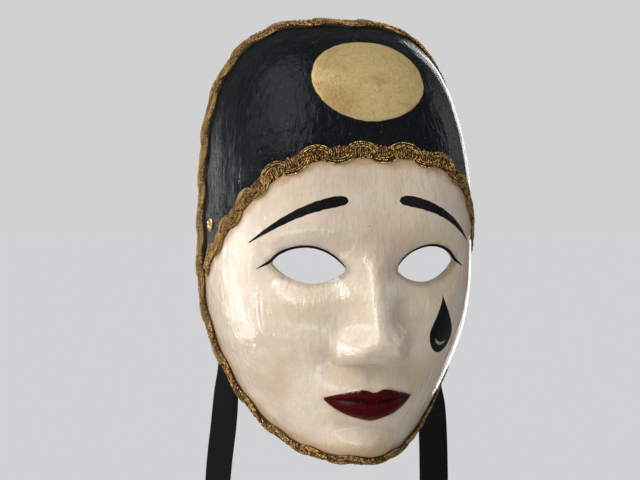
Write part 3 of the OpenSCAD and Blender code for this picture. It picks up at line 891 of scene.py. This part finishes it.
def make_disc(rings=44, spokes=200):
    """Leaf on a thin ground with a slightly uneven edge, following the crown."""
    middle = on_face(*np.array(DISC_PLACE))
    normal = normal_at(middle)
    side = unit(np.cross([0.0, 0.0, 1.0], -normal))
    up = np.cross(side, normal)
    side, up = (side * math.cos(DISC_TILT) - up * math.sin(DISC_TILT),
                up * math.cos(DISC_TILT) + side * math.sin(DISC_TILT))
    c, s = circle(spokes)
    turn = np.arange(spokes) * TAU / spokes
    uneven = (0.0035 * np.sin(turn * 23 + 2 * np.sin(turn * 5)) + 0.003 * np.sin(turn * 9 + 1)
              + 0.004 * np.sin(turn * 3 + 2))
    share = np.linspace(0.004, 1, rings)[:, None] ** 0.8
    away = share * 0.996 * (1 + uneven * share ** 2)
    flat = middle + away[..., None] * (c[:, None] * side * DISC_WIDE / 2 + s[:, None] * up * DISC_TALL / 2)
    base = onto(flat, normal, 8)
    normals = normal_at(base)
    rise = DISC_LEAF * np.clip((1 - share) * 26, 0.25, 1)[..., None]
    # The middle comes last, with a fan of triangles round it
    grids = ((base + normals * rise, middle + normal * DISC_LEAF),
             (base - normals * DISC_SUNK, middle - normal * DISC_SUNK), (normals, normal))
    top, under, normals = (np.concatenate([grid.reshape(-1, 3), centre]) for grid, centre in grids)
    first = np.arange(spokes)
    fan = np.stack([(first + 1) % spokes, first, np.full(spokes, len(top) - 1)], -1)
    quads = grid_faces(rings, spokes, False, True)
    quads, fan = facing_out(quads, top, normals, len(quads) // 2), facing_out(fan, top, normals)
    points, backs, wall = closed_sheet(top, under, [quads, fan], normals)
    angle = turn * 16 + share * 40
    uv = np.concatenate([np.stack([angle, away * DISC_WIDE / 2], -1).reshape(-1, 2), [[0, 0]]])
    uv = np.concatenate([uv, uv])
    groups = [*map(np.concatenate, zip([quads, fan], backs)), wall]
    make_piece("gold_leaf_disc", points, [(faces, 0) for faces in groups], [leaf_material()], "mask",
               ["gold_disc"], uv=np.concatenate([uv[faces].reshape(-1, 2) for faces in groups]))


make_disc()


# ---- Gimp braids ----
BRAID_WIDTH, MOTIF = 11.5, 12.0
RIM_INSET, RIM_NARROW, RIM_FULL, RIM_RISE, RIM_PAD = 0.3, 0.34, 0.12, 1.2, 0.6
FOREHEAD_END = 78.5
CORD_REACH, CORD_TOP, CORD_FOOT = (9.4, 8.2, 7.0), (5.4, 4.2, 3.0), -1.4
CORD_RADIUS, FAN_RADIUS, WOUND_RADIUS = 0.36, 0.33, 0.42
FAN_TURNS, FAN_FOOT, FAN_GAP = 11, -3.3, 0.35


class Bed:
    """The strip of face that a braid lies on: place() gives points at s along, y across and h above it, in mm.

    share is how much of its full width a closed strip has at each of its centres.
    """

    def __init__(self, centres, normals, closed, share=None):
        run = lengths_along(centres, closed)
        self.length, self.closed = run[-1], closed
        self.count = int(self.length / 0.5)
        at = np.linspace(0, self.length, self.count + 1)

        def spaced(values):
            return rows_at(at, run, np.concatenate([values, values[:1]]) if closed else values)

        middle, lean_out = spaced(centres), unit(spaced(normals))
        along = np.gradient(middle, axis=0)
        if closed:
            along[0] = along[-1] = middle[1] - middle[-2]
        across = unit(np.cross(lean_out, unit(along)))
        if share is not None:
            across *= spaced(share[:, None])
        self.offsets = np.linspace(-6.5, 6.5, 27)
        flat = middle[:, None] + across[:, None] * self.offsets[:, None]
        self.points = onto(flat, lean_out[:, None], 5)
        self.normals = normal_at(self.points)

    def place(self, s, y, h):
        s = np.mod(s, self.length) if self.closed else np.clip(s, 0, self.length)
        i = np.clip(s / self.length * self.count, 0, self.count - 1e-6)
        j = np.clip((y - self.offsets[0]) / (self.offsets[1] - self.offsets[0]), 0, len(self.offsets) - 1.001)
        a, b = i.astype(int), j.astype(int)
        p, q = (i - a)[..., None], (j - b)[..., None]

        def at(grid):
            return ((grid[a, b] * (1 - q) + grid[a, b + 1] * q) * (1 - p)
                    + (grid[a + 1, b] * (1 - q) + grid[a + 1, b + 1] * q) * p)

        normals = unit(at(self.normals))
        return at(self.points) + normals * h[..., None], normals


def arc_height(offset, index):
    """How far out a motif's cord stands, offset mm along from its middle; -9 beyond its ends."""
    k = np.clip(1 - (offset / CORD_REACH[index]) ** 2, 0, 1)
    return np.where(np.abs(offset) < CORD_REACH[index], CORD_FOOT + (CORD_TOP[index] - CORD_FOOT) * np.sqrt(k), -9.0)


def join(parts):
    """One set of points, quads and corner uv from several."""
    points, faces, uv = zip(*parts)
    bases = np.cumsum([0] + [len(p) for p in points[:-1]])
    return np.concatenate(points), np.concatenate([f + base for f, base in zip(faces, bases)]), np.concatenate(uv)


class Braid:
    """Overlapping scallops on alternate sides of a bed, each with three cords round it and a fan of threads inside.

    rise gives the height of the outer edge at a place along, and pad is the height of the padding.
    """

    def __init__(self, bed, seed, rise=None, pad=0.0):
        self.bed, self.rise, self.pad = bed, rise, pad
        self.draw = np.random.default_rng(seed)
        count = int(round(bed.length / MOTIF))
        self.count = count - count % 2 if bed.closed else count
        self.pitch = bed.length / self.count

    def raised(self, s, y):
        """Extra height towards the outer edge."""
        return self.rise(s) * np.clip((1 - 2 * y / BRAID_WIDTH) / 2, 0, 1) ** 1.3 if self.rise else 0 * s

    def lay(self, s, y, h, radius, margin, least):
        """A list with the tube of a thread, or none where the ends of the bed leave fewer points than least."""
        keep = (s > margin) & (s < self.bed.length - margin) | self.bed.closed
        if np.count_nonzero(keep) < least:
            return []
        place, normals = self.bed.place(s[keep], y[keep], (h + self.raised(s, y) + self.pad)[keep])
        return [tube(place, normals, radius)]

    def cords(self, middle, side, vary):
        tubes, turn = [], np.linspace(-1.35, 1.35, 25)
        for index in range(3):
            off = CORD_REACH[index] * np.sin(turn)
            y = side * (arc_height(off * 0.9999, index) + 0.10 * vary[index])
            h = 0.95 + 0.10 * index + 0.62 * off / 9 - 0.12 * np.cos(turn) * (2 - index)
            tubes += self.lay(middle + off * self.pitch / MOTIF, y, h, CORD_RADIUS, 0.5, 6)
        return tubes

    def fan(self, middle, side):
        """One thread to and fro between the cords and the far edge of the scallop."""
        draw = self.draw.normal
        low, high = (np.linspace(-end, end, FAN_TURNS) + 0.14 * draw(0, 1, FAN_TURNS) for end in (5.6, 6.4))
        path = []
        for n in range(FAN_TURNS):
            share = np.linspace(0.0, 1.0, 7, endpoint=False)
            share = 1 - share if n % 2 else share
            off = low[n] * (1 - share) + high[n] * share + 0.5 * np.sin(np.pi * share)
            top = np.maximum(arc_height(off, 2) - FAN_GAP, -0.6)
            swell = 0.80 * np.sin(np.pi * np.clip(share, 0.04, 0.96)) ** 0.8
            path.append((middle + off * self.pitch / MOTIF,
                         side * (FAN_FOOT * (1 - share) + top * share + 0.22 * draw()),
                         0.52 + swell + 0.03 * off + 0.07 * draw()))
        return self.lay(*np.concatenate(path, axis=1), FAN_RADIUS, 0.4, 13)

    def wound_edge(self):
        """A thread wound to and fro over the raised edge, which shows from the side and behind."""
        passes = 2 * int(self.bed.length / 1.3)
        up = np.arange(4) / 4
        share = np.tile(np.concatenate([up, 1 - up]), passes // 2)
        s = np.arange(len(share)) * self.bed.length / len(share)
        uneven = np.repeat(self.draw.normal(0, 1, passes), 4)
        y = -4.75 - 0.35 * np.sin(math.pi * share) + 0.35 * np.cos(s / self.pitch * math.pi) - 0.08 * uneven
        h = 0.25 + share * (self.raised(s, -BRAID_WIDTH / 2) + 0.35) + 0.06 * uneven
        return tube(*self.bed.place(s, y, h), WOUND_RADIUS, True)

    def ground(self):
        """A domed strip under the cords, with the scallops' outline."""
        length, closed = self.bed.length, self.bed.closed
        s = np.linspace(0, length, int(length / 0.8) + 1)
        motif = s / self.pitch - (0.5 if closed else 0)
        edges = []
        for odd in (0, 1):
            near = 2 * np.round((motif - odd) / 2) + odd
            edges.append((2 * odd - 1) * np.maximum(arc_height((motif - near) * MOTIF, 0) - 0.3, 3.1)[:, None])
        spread = np.linspace(-1, 1, 11)
        y = (edges[0] + edges[1]) / 2 + (edges[1] - edges[0]) / 2 * spread
        along = np.broadcast_to(s[:, None], y.shape)
        dome = 0.20 + self.pad * (1 - np.abs(spread) ** 4) + 0.45 * (1 - np.abs(spread) ** 2.6)
        top, _ = self.bed.place(along, y, dome + self.raised(along, y))
        under, _ = self.bed.place(along, y, np.full(y.shape, -0.15))
        shape = np.concatenate([top, under[:, ::-1]], axis=1)[:-1 if closed else None]
        rows, sides = shape.shape[:2]
        faces, uv = bar_faces(rows, sides, closed, np.arange(sides + 1) * 0.9, s)
        return shape.reshape(-1, 3), faces[:, ::-1], uv[:, ::-1]


def make_braid(name, node, braid):
    cords, threads = [], []
    for k in range(braid.count + (not braid.bed.closed)):
        vary = braid.draw.normal(0, 1, 6)
        middle = (k + 0.5 * braid.bed.closed) * braid.pitch + 0.25 * vary[0]
        side = 1 if k % 2 else -1
        cords += braid.cords(middle, side, vary[1:])
        threads += braid.fan(middle, side)
    if braid.rise:
        threads.append(braid.wound_edge())
    kinds = [braid.ground(), join(cords), join(threads)]
    points, faces, uv = join(kinds)
    parts = np.split(faces, np.cumsum([len(kind[1]) for kind in kinds])[:-1])
    make_piece(name, points, [(part, k) for k, part in enumerate(parts)], BRAID_MATERIALS, "mask",
               [node], uv=uv)


def rim_bed():
    """The rim braid's bed, and how far it stands up along the rim: least under the chin, where it starts."""
    turn = np.linspace(0, TAU, 1801)[:-1] - math.pi / 2
    rim = skin(1.0, turn)
    normals = normal_at(rim)
    forward = unit(np.cross(normals, unit(np.roll(rim, -1, 0) - np.roll(rim, 1, 0))))
    share = 1 - RIM_NARROW * ease((-np.sin(turn) - 0.3) / 0.45) + RIM_FULL * ease((np.sin(turn) + 0.4) / 0.5)
    middle = onto(rim + forward * (RIM_INSET + share[:, None] * BRAID_WIDTH / 2), normals, 6)
    run, turns = lengths_along(middle, True), np.append(turn, turn[0] + TAU)

    def rise(s):
        return RIM_RISE * (1 - 0.9 * np.exp(-((1 + np.sin(np.interp(s, run, turns))) / 0.25) ** 2))

    return Bed(middle, normal_at(middle), True, share), rise


def forehead_bed(count=900):
    """The forehead braid's bed, found on the edge of the cap by halving."""
    turn = np.radians(np.linspace(-FOREHEAD_END, FOREHEAD_END, count))
    near, far = np.full(count, 40.0), np.full(count, 110.0)
    for _ in range(40):
        d = (near + far) / 2
        y = -d * np.cos(turn)
        p = np.stack([d * np.sin(turn), y, brow_height(y)], -1)
        inside = level(p) < 0
        near, far = np.where(inside, d, near), np.where(inside, far, d)
    return Bed(p, normal_at(p), False)


BRAID_MATERIALS = [band_material(),
                   thread_material("gimp_cord", (0.95, 0.56, 0.145), (0.10, 0.045, 0.01), 0.95, 0.6),
                   thread_material("gimp_thread", (0.74, 0.33, 0.05), (0.13, 0.045, 0.008), 0.8, 0.55)]
rim_strip, rim_rise = rim_bed()
make_braid("braid_rim", "rim_braid", Braid(rim_strip, 11, rim_rise, RIM_PAD))
make_braid("braid_forehead", "forehead_braid", Braid(forehead_bed(), 12))


# ---- Eyelets and washers: rolled brass, turned round each eyelet's axis ----
def turned_ring(name, profile, side, material, node, spokes=72):
    """A closed ring turned from (radius, height along the axis) points."""
    radius, height = np.array(profile, float).T[..., None]
    across = np.array([0.0, 0.0, 1.0])
    c, s = circle(spokes)
    ring = c[:, None] * across + s[:, None] * np.cross(OUT, across)
    points = (SEAT + OUT * height + ring[:, None] * radius).reshape(-1, 3) * [side, 1, 1]
    faces = grid_faces(spokes, len(profile), True, True)[:, ::side]
    make_piece(name, points, [(faces, 0)], [material], "mask", [node], sharp=50)


def arc(radius_at, height_at, size, start, stop, steps):
    turn = np.radians(np.linspace(start, stop, steps))
    return [[radius_at + size * math.cos(t), height_at + size * math.sin(t)] for t in turn]


brass = brass_material()
# From the bore outwards over the rolled flange, under it, down the barrel and round the clenched end
FLANGE = ([[2.0, -6.0], [2.0, -0.35]] + arc(2.95, -0.1, 0.95, 165, 90, 8)[1:] + arc(3.05, 0.1, 0.75, 88, -8, 9)
          + [[3.5, 0.06], [2.5, 0.02], [2.5, -5.86]] + arc(3.0, -6.2, 0.42, 62, -90, 9)
          + [[2.5, -6.6], [2.08, -6.35]])
WASHER = [[2.5, -5.35], [2.6, -5.25], [4.9, -5.25], [5.0, -5.35], [5.0, -5.72], [4.85, -5.85], [3.0, -5.85],
          [2.5, -5.8]]
for side, word in SIDES:
    turned_ring(f"brass_eyelet_{word}", FLANGE, side, brass, f"eyelet_{word}")
    turned_ring(f"brass_washer_{word}", WASHER, side, brass, f"washer_{word}", 48)


# ---- Floor and light ----
FLOOR_RADIUS, FLOOR_HEIGHT = 14.0, -0.44
ROOM, BACKDROP = 0.13, 0.646
# Azimuth and elevation in degrees, distance and size in metres, power in watts
BOXES = {"key_box": (-48, 24, 1.0, (0.18, 0.26), 1.2),
         "strip_cheek": (-119, -16, 1.0, (0.03, 0.46), 2.4),
         "strip_nose": (-100, -8, 1.0, (0.02, 0.24), 0.9),
         "strip_temple": (-149, 1, 1.0, (0.012, 0.22), 0.4),
         "box_left": (-94, 17, 1.2, (0.45, 0.22), 1.2),
         "box_top": (-38, 36, 1.2, (0.30, 0.16), 0.5),
         "side_right": (108, 18, 1.1, (0.36, 0.5), 0.9),
         "strip_right": (152, 4, 1.1, (0.2, 0.8), 1.6),
         "fill": (35, 8, 1.6, (1.0, 1.0), 2.0),
         "bounce": (-42, -30, 0.75, (0.8, 0.12), 0.9)}


def make_floor():
    """A pale floor, and the collection that keeps the boxes' light off it."""
    c, s = circle(64)
    mesh = bpy.data.meshes.new("floor")
    points = np.stack([c * FLOOR_RADIUS, s * FLOOR_RADIUS, 0 * c + FLOOR_HEIGHT], -1)
    mesh.from_pydata(points.tolist(), [], [list(range(len(points)))])
    g = Graph("studio_floor")
    mesh.materials.append(g.finish((0.92, 0.92, 0.93, 1), 0.9, Specular_IOR_Level=0.0))
    floor = bpy.data.objects.new("floor", mesh)
    floor.visible_glossy = False
    bpy.context.scene.collection.objects.link(floor)
    not_the_floor = bpy.data.collections.new("lit_by_the_boxes")
    not_the_floor.objects.link(floor)
    not_the_floor.collection_objects[0].light_linking.link_state = "EXCLUDE"
    return not_the_floor


def make_world():
    """Dim surroundings for the gloss to reflect, and a pale backdrop behind the mask, as bright as the floor."""
    world = bpy.data.worlds.new("studio")
    world.use_nodes = True
    nodes, links = world.node_tree.nodes, world.node_tree.links
    room = nodes["Background"]
    backdrop, ray, both = (nodes.new("ShaderNode" + kind) for kind in ("Background", "LightPath", "MixShader"))
    for node, color, strength in ((room, (0.94, 0.97, 1.0, 1), ROOM), (backdrop, (0.985, 0.99, 1.0, 1), BACKDROP)):
        node.inputs["Color"].default_value, node.inputs["Strength"].default_value = color, strength
    for source, target in ((ray.outputs["Is Camera Ray"], both.inputs[0]), (room.outputs[0], both.inputs[1]),
                           (backdrop.outputs[0], both.inputs[2]),
                           (both.outputs[0], nodes["World Output"].inputs["Surface"])):
        links.new(source, target)
    bpy.context.scene.world = world


def make_sun(azimuth, elevation, spread, strength):
    data = bpy.data.lights.new("soft_key", "SUN")
    data.angle, data.energy = math.radians(spread), strength
    aim(bpy.data.objects.new("soft_key", data), azimuth, elevation)


def make_box(name, azimuth, elevation, distance, size, power, lit):
    """A softbox aimed at the mask; the collection says what it lights."""
    data = bpy.data.lights.new(name, "AREA")
    data.shape, data.size, data.size_y = "RECTANGLE", *size
    data.energy = power
    lamp = bpy.data.objects.new(name, data)
    lamp.light_linking.receiver_collection = lit
    lamp.visible_camera = False
    aim(lamp, azimuth, elevation, distance, (0, -0.04, 0.02))


not_the_floor = make_floor()
make_world()
make_sun(-62, 50, 60, 2.35)
for name, values in BOXES.items():
    make_box(name, *values, not_the_floor)
bpy.context.scene.view_settings.view_transform = "Standard"

# ---- Update the scene ----
bpy.context.view_layer.update()
